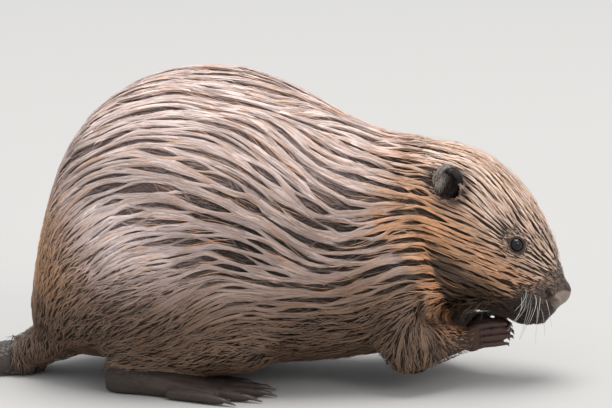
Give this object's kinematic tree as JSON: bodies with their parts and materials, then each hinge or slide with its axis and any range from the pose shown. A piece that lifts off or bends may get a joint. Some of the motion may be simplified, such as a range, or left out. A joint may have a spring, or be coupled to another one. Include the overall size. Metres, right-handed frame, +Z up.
{
  "type": "beaver",
  "caption": "Life-size still model of a beaver hunched on its hind feet with its hands under its chin and its flat scaly tail behind.",
  "frame": {"origin": "on the floor, under the middle of the whole animal's box", "axes": "+X from the tail towards the nose, +Y to the animal's left, +Z up"},
  "size_m": [0.8042, 0.2968, 0.317],
  "materials": {
    "coat": "long wet guard hairs over dense brown underfur",
    "tail_skin": "dark grey scaly skin, slightly wet",
    "foot_skin": "dark leathery skin with dark claws",
    "ear_skin": "thin dark skin with short fur",
    "nose_skin": "moist dark nose pad",
    "eye": "glossy near-black eyeball"
  },
  "bodies": {
    "root": {"ear_left": "ear_skin", "ear_right": "ear_skin", "eye_left": "eye", "eye_right": "eye", "forearm_left": "coat", "forearm_right": "coat", "hand_left": "foot_skin", "hand_right": "foot_skin", "head": "coat", "hind_foot_left": "foot_skin", "hind_foot_right": "foot_skin", "lower_leg_left": "coat", "lower_leg_right": "coat", "neck": "coat", "nose": "nose_skin", "tail": "tail_skin", "tail_root": "coat", "thigh_left": "coat", "thigh_right": "coat", "trunk": "coat", "upper_arm_left": "coat", "upper_arm_right": "coat"}
  },
  "joints": []
}
